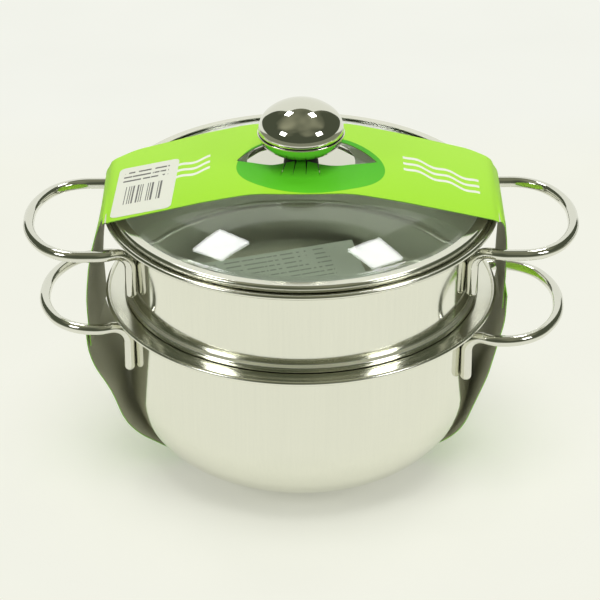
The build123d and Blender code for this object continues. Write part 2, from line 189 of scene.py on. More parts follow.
for edge in edit.edges:
    low_edge = all(vertex.co.z < wall_bend for vertex in edge.verts)
    edge.select_set(low_edge and len(edge.link_faces) == 2)
bmesh.update_edit_mesh(floor.data)
bpy.ops.mesh.bevel(offset=wall_bend, segments=wall_bend_steps, affect="EDGES")
bpy.ops.object.mode_set(mode="OBJECT")
bpy.ops.object.shade_smooth()


def finish(name, plain):
    """Material with plain values on its shader: the material, its shader, and Object coordinates."""
    material = bpy.data.materials.new(name)
    material.use_nodes = True
    shader = material.node_tree.nodes["Principled BSDF"]
    for socket, value in plain.items():
        shader.inputs[socket].default_value = value
    place = Value(material.node_tree).node("ShaderNodeTexCoord", output="Object")
    return material, shader, place


def mixed(material, shader, share, other):
    """Mix a second shader into a material by a share from 0 to 1."""
    surface = Value(material.node_tree, shader.outputs[0])
    both = share.node("ShaderNodeMixShader", sockets={0: share, 1: surface, 2: other})
    both.feed(material.node_tree.nodes["Material Output"], "Surface")
    return material


def stage_finish():
    """Matt pale surface that glows a little to the eye, to steel and through glass."""
    material, shader, place = finish("pale_stage", {"Roughness": 0.9, "Specular IOR Level": 0.1})
    x, y = place.axis("X"), place.axis("Y")
    reach = (x * x + y * y).math("SQRT")
    in_steel = place.seen_by("Glossy")
    far = reach.ramp(table_reach, table_edge) * (table_reach - y).ramp(0, table_edge) * in_steel
    colour = far.colours(y.ramp(wall_start, wall_blend).colours(floor_colour, wall_colour), table_far)
    colour.feed(shader, "Base Color")
    seen = (place.seen_by("Camera") + in_steel + place.seen_by("Transmission")).math("MINIMUM", 1)
    share = seen * (reach.ramp(glow_start, glow_blend) * (1 - glow_near) + glow_near)
    mottle = place.noise(mottle_scale) * mottle_depth + (1 - mottle_depth / 2)
    glow = place.node("ShaderNodeEmission", sockets={"Color": colour, "Strength": mottle})
    return mixed(material, shader, share, glow)


floor.data.materials.append(stage_finish())


# Light: one wide soft lamp overhead that steel doesn't show, two lamps in front that the knob shows,
# two high lamps that the glass shows as pale windows, and a dim room with paler and darker patches.
# Each lamp has its place, its size, its power, and whether steel and glass show it.
lamps = {
    "soft_top": ((0.1, -0.7, 2.9), 1.6, 54, False),
    "front_left": ((-1.9, -1.35, 1.5), 0.75, 12, True),
    "front_right": ((1.9, -1.35, 1.5), 0.75, 12, True),
    "rear_left": ((-0.80, 0.98, 2.28), 0.45, 6.5, True),
    "rear_right": ((0.79, 0.80, 2.37), 0.45, 6.5, True),
}
for name, (spot, size, power, shown) in lamps.items():
    bpy.ops.object.light_add(type="AREA", location=spot)
    lamp = bpy.context.object
    lamp.name = name
    lamp.data.size = size
    lamp.data.energy = power
    lamp.rotation_euler = Vector(spot).to_track_quat("Z", "Y").to_euler()
    lamp.visible_glossy = shown
    lamp.visible_transmission = shown
room_dark = (0.08, 0.09, 0.06)
room_pale = (0.36, 0.36, 0.25)
patch_scale = 1.6
patch_contrast = 2.0
patch_rise = 1.8
world = bpy.data.worlds.new("room")
bpy.context.scene.world = world
world.use_nodes = True
outside = Value(world.node_tree)
directions = outside.node("ShaderNodeTexCoord", output="Generated")
patches = directions.noise(patch_scale, detail=1) * patch_contrast + directions.axis("Z") * patch_rise
patches = (patches - patch_contrast).clamped()
room = outside.seen_by("Camera").colours(patches.colours(room_dark, room_pale), wall_colour)
room.feed(world.node_tree.nodes["Background"], "Color")


# Pot: one piece of steel drawn deep with a large belly radius, then given a flat ledge and a rolled
# rim. The wall is brushed upright, the ledge and rim are turned bright.
sheet = 0.8 * mm
bead = 1.3 * mm
pot_ledge = 11.1 * mm
pot_taper = 1.0 * mm
belly_bend = 44.6 * mm
rim_bend = 1.6 * mm
around = 256
curl_turn = math.radians(310)
curl_steps = 20
bend_step = 6
merge_gap = 0.01 * mm
crease = math.radians(38)
pot_low, pot_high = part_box("pot_body")
rim_radius = pot_high.x
bead_middle = rim_radius - bead
pot_rim = pot_high.z - bead
pot_bottom = pot_low.z
steel_colour = (0.85, 0.85, 0.76)
steel_dull = (0.78, 0.785, 0.70)


def start(name, x, z, y=0):
    """Start a line at one point, in edit mode: a section in the XZ plane, or a plan at one level."""
    bpy.ops.object.select_all(action="DESELECT")
    bpy.ops.mesh.primitive_plane_add(size=mm)
    piece = bpy.context.object
    piece.name = piece.data.name = name
    bpy.ops.object.mode_set(mode="EDIT")
    bpy.ops.mesh.select_mode(type="VERT")
    bpy.ops.mesh.merge(type="CENTER")
    bpy.ops.transform.translate(value=(x, y, z))
    return piece


def draw_to(spots):
    """Draw on from the selected point, straight to each spot."""
    for spot in spots:
        edit = bmesh.from_edit_mesh(bpy.context.object.data)
        here = next(vertex.co for vertex in edit.verts if vertex.select)
        bpy.ops.mesh.extrude_region_move(TRANSFORM_OT_translate={"value": spot - here})


def line_to(*corners):
    """Draw the section on, straight to each corner, given as (x, z)."""
    draw_to([Vector((x, 0, z)) for x, z in corners])


def arc(x, z, turn, steps):
    """Draw on round a centre. A positive turn goes over the top from left to right."""
    bpy.ops.mesh.spin(steps=steps, angle=-turn, center=(x, 0, z), axis=(0, 1, 0))


def round_off(spot, bend, steps=None):
    """Round the drawn line's corner nearest to a spot, by a bend radius."""
    edit = bmesh.from_edit_mesh(bpy.context.object.data)
    for vertex in edit.verts:
        vertex.select_set(False)
    corner = min(edit.verts, key=lambda vertex: (vertex.co - spot).length)
    corner.select_set(True)
    ways = [(edge.other_vert(corner).co - corner.co).normalized() for edge in corner.link_edges]
    turn = math.pi - ways[0].angle(ways[1])
    bmesh.update_edit_mesh(bpy.context.object.data)
    bpy.ops.mesh.bevel(
        offset_type="OFFSET", offset=bend * math.tan(turn / 2), affect="VERTICES",
        segments=steps or max(2, round(math.degrees(turn) / bend_step)))


def soften(corners, bends):
    """Round corners of the section, each given as (x, z), by their bend radii."""
    for (x, z), bend in zip(corners, bends, strict=True):
        round_off(Vector((x, 0, z)), bend)


def turned():
    """Spin the section once round Z."""
    bpy.ops.mesh.select_all(action="SELECT")
    bpy.ops.mesh.spin(steps=around, angle=-2 * math.pi, center=(0, 0, 0), axis=(0, 0, 1))
    bpy.ops.mesh.select_all(action="SELECT")
    bpy.ops.mesh.remove_doubles(threshold=merge_gap)
    bpy.ops.mesh.normals_make_consistent(inside=False)
    bpy.ops.object.mode_set(mode="OBJECT")


def applied(piece, kind, **settings):
    """Add a modifier, set it and apply it."""
    modifier = piece.modifiers.new(kind, kind)
    for name, value in settings.items():
        setattr(modifier, name, value)
    bpy.context.view_layer.objects.active = piece
    bpy.ops.object.modifier_apply(modifier=modifier.name)


def fitted(piece, body, slot, materials, *nodes):
    """Give a piece its finish and its body, and hide the nodes that it stands for. The slot is not used."""
    bpy.ops.object.select_all(action="DESELECT")
    piece.select_set(True)
    bpy.context.view_layer.objects.active = piece
    bpy.ops.object.shade_smooth_by_angle(angle=crease)
    if list(piece.data.materials) != materials:
        piece.data.materials.clear()
        for material in materials:
            piece.data.materials.append(material)
    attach(piece, body)
    if nodes:
        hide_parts(*nodes)


grain_fine = 0.0012 * mm
upright_grain = (900, 900, 14)
turned_grain = (60, 60, 1800)
no_grain = (30, 30, 30)
steel_cloud = 18
streak_share = 0.5
cloud_share = 0.3
least_share = 0.6


def steel(name, colour, dull, rough, grain=no_grain, grain_depth=0.0):
    """Bright steel with a grain: roughness and bumps follow noise that is stretched by the grain."""
    material, shader, place = finish(name, {"Metallic": 1.0})
    streak = place.mapped(grain).noise(1, detail=3)
    cloud = place.noise(steel_cloud, detail=3)
    (cloud * 0.5 + streak * 0.5).colours(colour, dull).feed(shader, "Base Color")
    wear = streak * (rough * streak_share) + cloud * (rough * cloud_share)
    (wear + rough * least_share).feed(shader, "Roughness")
    streak.bumps(grain_depth).feed(shader, "Normal")
    return material


def steel_like(name, rough, grain=no_grain, grain_depth=0.0):
    """The set's own drawn steel, with its roughness and grain."""
    return steel(name, steel_colour, steel_dull, rough, grain, grain_depth)


brushed = steel_like("brushed_steel", rough=0.1, grain=upright_grain, grain_depth=grain_fine)
bright = steel_like("bright_steel", rough=0.2)
half = sheet / 2
pot_wall = rim_radius - pot_ledge
pot = start("pot", 0, pot_bottom + half)
corners = [(pot_wall - pot_taper - half, pot_bottom + half), (pot_wall - half, pot_rim)]
line_to(*corners, (bead_middle - bead + half, pot_rim))
arc(bead_middle, pot_rim, curl_turn, curl_steps)
soften(corners, [belly_bend, rim_bend])
turned()
applied(pot, "SOLIDIFY", thickness=sheet, offset=0)
fitted(pot, "pot", "pot_steel", [brushed, bright], "pot_body")
rim_start = pot_wall + rim_bend / 2
for face in pot.data.polygons:
    face.material_index = int(face.center.xy.length > rim_start and face.center.z > pot_rim - 3 * bead)


# Base: an aluminium plate pressed between the pot and a steel cap, brushed in rings.
ring_depth = 0.004 * mm
pitting = 0.01 * mm
aluminium_colour, aluminium_dull = (0.72, 0.72, 0.71), (0.6, 0.6, 0.6)
cap_steel = steel_like("ringed_steel", rough=0.3, grain=turned_grain, grain_depth=ring_depth)
aluminium = steel("aluminium", aluminium_colour, aluminium_dull, rough=0.5, grain_depth=pitting)


def refinish(material, *nodes):
    """Give CAD nodes a finish of their own."""
    for name in nodes:
        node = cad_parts[name]
        node.data.materials.clear()
        node.data.materials.append(material)


refinish(cap_steel, "pot_base_cap")
refinish(aluminium, "pot_base_core")


# Handles: each is one length of 6 mm steel wire, bent to a loop and spot welded to the wall by its
# two upright legs. The basket's loops reach further out than the pot's, which stand slightly turned.
wire = 3.0 * mm
wire_sides = 24
leg_half = 36.0 * mm
leg_drop = 27.5 * mm
handle_bend = 10.0 * mm
arm_spread = 6.0 * mm
spread_reach = 14.0 * mm
spread_bend = 18.0 * mm
loop_shoulder = 16.0 * mm
loop_tip_half = 17.0 * mm
loop_side_bend = 26.0 * mm
loop_tip_bend = 50.0 * mm
weld_gap = 0.05 * mm
pot_turn = math.radians(-3.7)
pot_overhang = 36.4 * mm
pot_loop_level = pot_rim - 7.4 * mm
basket_overhang = 42.6 * mm
tip_round_share = 0.95
tip_steps = 6
wire_step = 4
wire_scratch = 0.001 * mm
wire_colour, wire_dull = (0.82, 0.82, 0.75), (0.72, 0.72, 0.66)
wire_steel = steel("wire_steel", wire_colour, wire_dull, rough=0.08, grain_depth=wire_scratch)


def bent_wire(name, corners, bends):
    """Push a round section along the corners, bending it at each, and round its two ends."""
    bpy.ops.object.select_all(action="DESELECT")
    bpy.ops.mesh.primitive_circle_add(
        vertices=wire_sides, radius=wire, fill_type="NGON", location=corners[0])
    piece = bpy.context.object
    piece.name = piece.data.name = name
    bpy.ops.object.transform_apply(location=True)
    bpy.ops.object.mode_set(mode="EDIT")
    bpy.ops.mesh.select_mode(type="FACE")
    bpy.ops.mesh.select_all(action="SELECT")
    here = corners[0]
    for before, corner, after, bend in zip(corners, corners[1:], corners[2:], bends):
        way, next_way = (corner - before).normalized(), (after - corner).normalized()
        turn = way.angle(next_way)
        reach = bend * math.tan(turn / 2)
        hinge = way.cross(next_way).normalized()
        arc_start = corner - way * reach
        bpy.ops.mesh.extrude_region_move(TRANSFORM_OT_translate={"value": arc_start - here})
        bpy.ops.mesh.spin(
            steps=max(2, round(math.degrees(turn) / wire_step)), angle=-turn,
            center=arc_start + hinge.cross(way) * bend, axis=hinge)
        here = corner + next_way * reach
    bpy.ops.mesh.extrude_region_move(TRANSFORM_OT_translate={"value": corners[-1] - here})
    edit = bmesh.from_edit_mesh(piece.data)
    for face in edit.faces:
        face.select_set(len(face.verts) == wire_sides)
    bmesh.update_edit_mesh(piece.data)
    bpy.ops.mesh.bevel(offset=wire * tip_round_share, segments=tip_steps, affect="EDGES")
    bpy.ops.mesh.select_all(action="SELECT")
    bpy.ops.mesh.normals_make_consistent(inside=False)
    bpy.ops.object.mode_set(mode="OBJECT")
    return piece


def handle(name, wall_radius, level, overhang):
    """Handle on the right: leg, spreading arm, blunt loop, and the same back."""
    leg_out = math.sqrt((wall_radius + wire + weld_gap) ** 2 - leg_half ** 2)
    tip = rim_radius + overhang - wire
    arm_half = leg_half + arm_spread
    run_out = [
        Vector((leg_out, leg_half, level - leg_drop)),
        Vector((leg_out, leg_half, level)),
        Vector((leg_out + spread_reach, arm_half, level)),
        Vector((tip - loop_shoulder, arm_half, level)),
        Vector((tip, loop_tip_half, level)),
    ]
    corners = run_out + [corner * Vector((1, -1, 1)) for corner in reversed(run_out)]
    bends = [handle_bend, spread_bend, loop_side_bend, loop_tip_bend]
    spread_turn = math.atan2(arm_spread, spread_reach)
    side_turn = math.atan2(arm_half - loop_tip_half, loop_shoulder)
    straight = tip - loop_shoulder - leg_out - spread_reach - spread_bend * math.tan(spread_turn / 2)
    bends[2] = min(loop_side_bend, straight / math.tan(side_turn / 2) - mm)
    return bent_wire(name, corners, bends + bends[::-1])


def turned_copy(piece, name, angle):
    """Copy of a piece with its own mesh, turned about Z."""
    bpy.ops.object.select_all(action="DESELECT")
    copy = piece.copy()
    copy.data = piece.data.copy()
    copy.name = copy.data.name = name
    bpy.context.collection.objects.link(copy)
    copy.data.transform(Matrix.Rotation(angle, 4, "Z"))
    return copy


def pair_of_handles(body, turn, loop):
    """Copies of a loop on both sides of a body, which is turned a little about Z."""
    for name, angle in {"right": turn, "left": turn + math.pi}.items():
        copy = turned_copy(loop, f"{body}_wire_{name}", angle)
        fitted(copy, body, "handle_wire", [wire_steel], f"{body}_handle_{name}")
    bpy.data.objects.remove(loop)


taper_there = pot_taper * (pot_rim - pot_loop_level + handle_bend) / (pot_rim - pot_bottom)
wall_there = pot_wall - taper_there
pair_of_handles("pot", pot_turn, handle("pot_handle", wall_there, pot_loop_level, pot_overhang))


# Basket: drawn steel with a rolled seat that stands on the pot's ledge, a ledge and rim like the
# pot's, and steam holes punched in its floor.
basket_low, basket_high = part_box("basket_body")
basket_rim = basket_high.z - bead
basket_ledge = 12.4 * mm
basket_flare = 1.3 * mm
seat_land = 0.9 * mm
seat_height = 3.4 * mm
seat_bend = 0.9 * mm
seat_gap = 0.2 * mm
skirt_gap = 1.2 * mm
skirt_taper = 1.3 * mm
foot_bend = 8.0 * mm
hole_radius = 3.0 * mm
hole_pitch = 15.0 * mm
hole_rings = 4
holes_more = 6
hole_sides = 24
punch_depth = 8.0 * mm
floor_level = basket_low.z + sheet / 2
basket_wall = rim_radius - basket_ledge
basket_loop_level = basket_rim - 9.9 * mm
seat_low = pot_rim + half + seat_gap
seat_out = pot_wall + seat_land - half
skirt_top = pot_wall - sheet - skirt_gap - half
basket = start("basket", 0, floor_level)
corners = [
    (skirt_top - skirt_taper, floor_level),
    (skirt_top, seat_low - half),
    (seat_out, seat_low + half),
    (seat_out, seat_low + seat_height - sheet),
    (basket_wall - half, seat_low + seat_height + half),
    (basket_wall + basket_flare - half, basket_rim),
]
line_to(*corners, (bead_middle - bead + half, basket_rim))
arc(bead_middle, basket_rim, curl_turn, curl_steps)
soften(corners, [foot_bend, seat_bend, seat_bend, seat_bend, seat_bend, rim_bend])
turned()
applied(basket, "SOLIDIFY", thickness=sheet, offset=0)
bpy.ops.object.select_all(action="DESELECT")
bpy.ops.mesh.primitive_cylinder_add(
    vertices=hole_sides, radius=hole_radius, depth=punch_depth, location=(0, 0, floor_level))
punch = bpy.context.object
bpy.ops.object.mode_set(mode="EDIT")
for row in range(1, hole_rings + 1):
    for number in range(row * holes_more):
        angle = 2 * math.pi * number / (row * holes_more)
        spot = (row * hole_pitch * math.cos(angle), row * hole_pitch * math.sin(angle), floor_level)
        bpy.ops.mesh.primitive_cylinder_add(
            vertices=hole_sides, radius=hole_radius, depth=punch_depth, location=spot)
bpy.ops.object.mode_set(mode="OBJECT")
applied(basket, "BOOLEAN", operation="DIFFERENCE", object=punch, solver="EXACT")
bpy.data.objects.remove(punch)
basket_brushed = steel_like("basket_brushed", rough=0.1, grain=upright_grain, grain_depth=grain_fine)
satin = steel_like("satin_steel", rough=0.42)
fitted(basket, "basket", "basket_steel", [basket_brushed, bright, satin], "basket_body")
facing_up = 0.7
for face in basket.data.polygons:
    outer = face.center.xy.length > basket_wall + basket_flare + rim_bend / 2
    inner = face.normal.xy.dot(face.center.xy) < 0 or face.normal.z > facing_up
    face.material_index = 1 if outer and face.center.z > basket_rim - 3 * bead else 2 * inner
flare_there = basket_flare * (basket_loop_level - handle_bend - pot_rim) / (basket_rim - pot_rim)
wall_there = basket_wall + flare_there
pair_of_handles("basket", 0, handle("basket_handle", wall_there, basket_loop_level, basket_overhang))


# Leaflet: a folded paper that lies on the basket's floor, its rear edge curled up against the wall,
# with plain grey rules for its lines.
skirt_foot = skirt_top + half - skirt_taper
leaflet_wide = skirt_foot * 1.015
leaflet_flat = skirt_foot * 0.773
leaflet_curl = skirt_foot * 0.243
leaflet_rise = 9.0 * mm
leaflet_bend = 30.0 * mm
leaflet_paper = 0.35 * mm
leaflet_turn = math.radians(18.5)
leaflet_place = Vector((0.5 * mm, skirt_foot * 0.27, floor_level + half + 0.12 * mm))
leaflet_rows = 24
line_pitch = 3.0 * mm
line_share = 0.28
line_reach = (-36 * mm, 38 * mm)
word_grain = (420, 40, 1)
word_cut = 0.42
paper_cockle = 0.08 * mm
cockle_scale = 90
leaflet_grey, leaflet_ink = (0.60, 0.64, 0.56), (0.36, 0.39, 0.34)


def widened(piece, width, rows):
    """Draw the line out into a band, row by row towards the back."""
    for row in range(rows):
        bpy.ops.mesh.select_all(action="DESELECT")
        edit = bmesh.from_edit_mesh(piece.data)
        furthest = max(vertex.co.y for vertex in edit.verts)
        for vertex in edit.verts:
            vertex.select_set(vertex.co.y > furthest - mm / 2)
        edit.select_flush(True)
        bmesh.update_edit_mesh(piece.data)
        bpy.ops.mesh.extrude_edges_move(TRANSFORM_OT_translate={"value": (0, width / rows, 0)})
    bpy.ops.mesh.select_all(action="SELECT")
    bpy.ops.mesh.remove_doubles(threshold=merge_gap)
    bpy.ops.mesh.normals_make_consistent(inside=False)
    bpy.ops.object.mode_set(mode="OBJECT")


leaflet = start("leaflet", 0, leaflet_paper / 2)
fold = (leaflet_flat, leaflet_paper / 2)
line_to(fold, (leaflet_flat + leaflet_curl, leaflet_paper / 2 + leaflet_rise))
soften([fold], [leaflet_bend])
widened(leaflet, leaflet_wide, leaflet_rows)
leaflet_frame = (
    Matrix.Translation(leaflet_place)
    @ Matrix.Rotation(leaflet_turn + math.pi / 2, 4, "Z")
    @ Matrix.Translation((-(leaflet_flat + leaflet_curl) / 2, -leaflet_wide / 2, 0))
)
leaflet.data.transform(leaflet_frame)
applied(leaflet, "SOLIDIFY", thickness=leaflet_paper, offset=0)


def leaflet_finish():
    """White paper with broken grey rules across it."""
    material, shader, place = finish("leaflet_paper", {"Roughness": 0.7, "Specular IOR Level": 0.3})
    flat = place.mapped(turn=-leaflet_turn)
    rule = (flat.axis("Y") * (1 / line_pitch)).math("FRACT").math("LESS_THAN", line_share)
    word = flat.mapped(scale=word_grain).noise(1, detail=1).math("GREATER_THAN", word_cut)
    margin = flat.axis("X").within(*line_reach)
    (rule * word * margin).colours(leaflet_grey, leaflet_ink).feed(shader, "Base Color")
    place.noise(cockle_scale).bumps(paper_cockle).feed(shader, "Normal")
    return material


fitted(leaflet, "basket", "leaflet_paper", [leaflet_finish()], "care_leaflet")


# Lid: a dome of clear tempered glass with a flat edge, in a thin steel channel crimped round it.
band_low, band_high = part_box("lid_rim_band")
glass_low, glass_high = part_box("lid_glass")
band_radius = band_high.x
band_sheet = 0.5 * mm
band_lip = 5.4 * mm
band_bend = 1.5 * mm
glass = 2.9 * mm
glass_edge = glass_high.x
crown_radius = 16.0 * mm
foot_inset = 7.7 * mm
foot_round = 9.0 * mm
bolt_hole = 4.0 * mm
dome_steps = 26
glass_edge_share = 0.4
sharp = math.radians(60)
glass_smear = 0.02
smear_scale = 30
glass_green, glass_shadow = (0.92, 0.97, 0.92), (0.89, 0.92, 0.87)
crown = glass_high.z
band_top = band_high.z
lip = band_radius - band_lip
band_side = band_radius - band_sheet / 2
low, top = band_low.z + band_sheet / 2, band_top - band_sheet / 2
band = start("lid_band", lip, low)
corners = [(band_side, low), (band_side, top)]
line_to(*corners, (lip, top))
soften(corners, [band_bend, band_bend])
turned()
applied(band, "SOLIDIFY", thickness=band_sheet, offset=0)
band_steel = steel_like("band_steel", rough=0.14)
fitted(band, "lid", "band_steel", [band_steel], "lid_rim_band")
edge_level = glass_low.z + glass / 2
dome_level = crown - glass / 2
dome_foot = band_radius - foot_inset
run, fall = dome_foot - crown_radius, dome_level - edge_level
dome_radius = (run ** 2 + fall ** 2) / (2 * fall)
dome = start("lid_dome", bolt_hole, dome_level)
line_to((crown_radius, dome_level))
arc(crown_radius, dome_level - dome_radius, math.asin(run / dome_radius), dome_steps)
line_to((glass_edge, edge_level))
soften([(dome_foot, edge_level)], [foot_round])
turned()
applied(dome, "SOLIDIFY", thickness=glass, offset=0)
applied(
    dome, "BEVEL", width=glass * glass_edge_share, segments=4, limit_method="ANGLE", angle_limit=sharp)


def glass_finish():
    """Clear glass, faintly green, that lets lamps shine through it."""
    material, shader, place = finish("lid_glass", {
        "Base Color": (*glass_green, 1), "Roughness": 0.0, "Transmission Weight": 1.0, "IOR": 1.5})
    (place.noise(smear_scale) * glass_smear).feed(shader, "Roughness")
    clear = place.node("ShaderNodeBsdfTransparent", sockets={"Color": glass_shadow})
    return mixed(material, shader, place.seen_by("Shadow"), clear)


fitted(dome, "lid", "lid_glass", [glass_finish()], "lid_glass")


# Knob: two spun steel shells, polished like mirrors, snapped over a moulded core with a seam below
# the widest level. One screw holds it, its round base plate and two silicone rings to the glass.
knob_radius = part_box("knob_lower_shell")[1].x
knob_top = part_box("knob_upper_shell")[1].z
knob_upper_round = 12.0 * mm
knob_lower_round = 10.0 * mm
knob_upper_rise = 16.0 * mm
knob_lower_fall = 13.7 * mm
knob_shell = 0.8 * mm
shell_edge = 0.25 * mm
shell_sharp = math.radians(50)
lip_draft = 0.05 * mm
crown_steps, side_steps, base_steps = 22, 12, 16
seam_drop = 1.4 * mm
seam_gap = 0.3 * mm
shell_opening = 9.3 * mm
knob_middle = knob_top - knob_upper_rise


def knob_arcs(rise, side_round):
    """Side arc's centre, crown arc's radius, and the angle at which the two meet."""
    side = knob_radius - side_round
    crown_arc = (side ** 2 + rise ** 2 - side_round ** 2) / (2 * (rise - side_round))
    return side, crown_arc, math.atan2(side, crown_arc - rise)


side, crown_arc, meeting = knob_arcs(knob_upper_rise, knob_upper_round)
upper = start("knob_upper", 0, knob_top)
arc(0, knob_top - crown_arc, meeting, crown_steps)
arc(side, knob_middle, math.pi / 2 - meeting, side_steps)
line_to((knob_radius - lip_draft, knob_middle - seam_drop + seam_gap / 2))
turned()
side, crown_arc, meeting = knob_arcs(knob_lower_fall, knob_lower_round)
seam_low = seam_drop + seam_gap / 2
seam_angle = math.asin(seam_low / knob_lower_round)
lower = start("knob_lower", side + knob_lower_round * math.cos(seam_angle), knob_middle - seam_low)
arc(side, knob_middle, math.pi / 2 - meeting - seam_angle, side_steps)
base_turn = meeting - math.asin(shell_opening / crown_arc)
arc(0, knob_middle - knob_lower_fall + crown_arc, base_turn, base_steps)
turned()
mirror_colour, mirror_dull = (0.80, 0.80, 0.72), (0.73, 0.73, 0.66)
mirror_steel = steel("mirror_steel", mirror_colour, mirror_dull, rough=0.045)
for piece, node in ((upper, "knob_upper_shell"), (lower, "knob_lower_shell")):
    applied(piece, "SOLIDIFY", thickness=knob_shell, offset=-1)
    applied(piece, "BEVEL", width=shell_edge, segments=2, limit_method="ANGLE", angle_limit=shell_sharp)
    fitted(piece, "lid", "knob_steel", [mirror_steel], node)
plate_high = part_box("knob_base_plate")[1]
plate_sheet = 0.8 * mm
plate_edge = 4.5 * mm
plate_turn_down = 0.9 * mm
plate_hole = 2.6 * mm
plate_round = 0.3 * mm
plate_level = plate_high.z - plate_sheet / 2
plate = start("knob_plate", plate_hole, plate_level)
plate_knee = plate_high.x - plate_edge
line_to((plate_knee, plate_level), (plate_high.x, plate_level - plate_turn_down))
soften([(plate_knee, plate_level)], [2 * plate_edge])
turned()
applied(plate, "SOLIDIFY", thickness=plate_sheet, offset=0)
applied(plate, "BEVEL", width=plate_round, segments=3, limit_method="ANGLE", angle_limit=sharp)
fitted(plate, "lid", "knob_steel", [mirror_steel], "knob_base_plate")


plain_cloud = 260
plain_swing = 0.2
plain_grain = 0.02 * mm


def plain(name, colour, dull, rough, metallic=0.0):
    """Plain finish with a little cloudiness in its colour and roughness, and a fine bump."""
    material, shader, place = finish(name, {"Metallic": metallic})
    cloud = place.noise(plain_cloud, detail=3)
    cloud.colours(colour, dull).feed(shader, "Base Color")
    (cloud * plain_swing + (rough - plain_swing / 2)).feed(shader, "Roughness")
    cloud.bumps(plain_grain).feed(shader, "Normal")
    return material


moulding = plain("moulding", (0.035, 0.035, 0.037), (0.02, 0.02, 0.022), rough=0.5)
brass = plain("brass", (0.70, 0.53, 0.25), (0.58, 0.42, 0.18), rough=0.35, metallic=1.0)
silicone = plain("silicone", (0.62, 0.63, 0.62), (0.52, 0.53, 0.52), rough=0.6)
screw_steel = plain("screw_steel", (0.62, 0.62, 0.61), (0.5, 0.5, 0.5), rough=0.35, metallic=1.0)
refinish(moulding, "knob_core")
refinish(brass, "knob_insert")
refinish(silicone, "knob_gasket", "knob_under_gasket")
refinish(screw_steel, "knob_washer", "knob_screw")


# Sleeve, upper card: green printed board that lies over the lid, with an eye-shaped opening for the
# knob, folds down at both sides and runs inside the handles. The slit edge of its opening is pushed
# up a little by the knob's neck.
card = 0.5 * mm
strip_half = 29.0 * mm
fold_half = 35.5 * mm
panel_half = 38.5 * mm
fold_level = band_top + 3.2 * mm
card_rows = 22
card_step = 3.5 * mm
card_cuts = 8
corner_steps = 8
eye_steps = 20
past_edge = 15.0 * mm
panel_level = plate_high.z + 0.9 * mm
knee = (52.0 * mm, panel_level - 5.3 * mm)
flat_end = (26.0 * mm, panel_level)
left_fold, right_fold = 103.4 * mm, 105.6 * mm
left_strip = [(112.35 * mm, 78.0 * mm), (113.9 * mm, 106.0 * mm), (111.0 * mm, 134.0 * mm)]
right_strip = [(106.6 * mm, 100.0 * mm), (107.4 * mm, 119.0 * mm), (107.8 * mm, 136.0 * mm)]
side_bend = 90.0 * mm
fold_bend = 10.0 * mm
knee_bend = 60.0 * mm
corner_run = 15.0 * mm
corner_round = 20.0 * mm
slot_middle = 3.0 * mm
slot_half = 37.0 * mm
slot_front = 11.0 * mm
slot_back = 21.0 * mm
left_twist = 5.5 * mm
front_droop = 1.9 * mm
BOARD, EDGE = 1, 2
lime = (0.36, 0.73, 0.03)
# Paler lime that the panel turns to towards its back: painted sheen.
lime_painted_sheen = (0.42, 0.77, 0.075)
leaf_green = (0.10, 0.53, 0.016)
leaf_dark = (0.05, 0.36, 0.02)
board_grey = (0.62, 0.62, 0.49)
board_dull = (0.52, 0.52, 0.41)
ellipse_middle = (5.0 * mm, -7.0 * mm)
ellipse_half = (39.0 * mm, 30.0 * mm)
waves = {-68.0 * mm: 0.16, 74.0 * mm: -0.28}
wave_half = 20.0 * mm
wave_pitch = 6.2 * mm
wave_height = 1.3 * mm
wave_length = 16.0 * mm
wave_thick = 1.2 * mm
wave_white = (0.80, 0.82, 0.72)
print_fibre, board_fibre, board_cloud = 700, 420, 26
print_rough, print_swing, board_swing = 0.42, 0.12, 0.2
edge_green, edge_dull = (0.30, 0.66, 0.08), (0.26, 0.58, 0.07)
print_grain = 0.02 * mm
board_grain = 0.03 * mm


def print_finish():
    """Glossy green print: an oval of darker green round the opening, and plain white steam waves."""
    material, shader, place = finish("sleeve_print", {"Specular IOR Level": 0.22})
    x, y = place.axis("X"), place.axis("Y")
    on_top = place.axis("Z").math("GREATER_THAN", fold_level)
    wide = (x - ellipse_middle[0]) * (1 / ellipse_half[0])
    deep = (y - ellipse_middle[1]) * (1 / ellipse_half[1])
    inside = (wide * wide + deep * deep).math("LESS_THAN", 1) * on_top
    # Towards the back the lime turns paler, which is painted sheen, and the oval turns darker.
    to_back = y.ramp(-panel_half, 2 * panel_half)
    ground = to_back.colours(lime, lime_painted_sheen)
    oval = to_back.colours(leaf_green, leaf_dark)
    colour = inside.colours(ground, oval)
    for middle, slope in waves.items():
        along = x - middle
        across = y - along * slope
        swing = (along * (2 * math.pi / wave_length)).math("SINE") * wave_height
        for row in (-1, 0, 1):
            offset = (across - swing - row * wave_pitch).math("ABSOLUTE")
            stroke = offset.math("LESS_THAN", wave_thick) * along.within(-wave_half, wave_half)
            colour = (stroke * on_top).colours(colour, wave_white)
    colour.feed(shader, "Base Color")
    fibre = place.noise(print_fibre)
    (fibre * print_swing + print_rough).feed(shader, "Roughness")
    fibre.bumps(print_grain).feed(shader, "Normal")
    return material


def board_finish(name, colour, dull, rough):
    """Unprinted side or cut edge of the board, with its fibres."""
    material, shader, place = finish(name, {"Specular IOR Level": 0.3})
    fibre = place.noise(board_fibre, detail=4)
    place.noise(board_cloud).colours(colour, dull).feed(shader, "Base Color")
    (fibre * board_swing + rough).feed(shader, "Roughness")
    fibre.bumps(board_grain).feed(shader, "Normal")
    return material


sleeve_finishes = [
    print_finish(),
    board_finish("sleeve_board", board_grey, board_dull, rough=0.6),
    board_finish("sleeve_edge", edge_green, edge_dull, rough=0.6),
]


def boarded(piece):
    """Give a card its printed, bare and cut finishes."""
    piece.data.materials.clear()
    for material in sleeve_finishes:
        piece.data.materials.append(material)


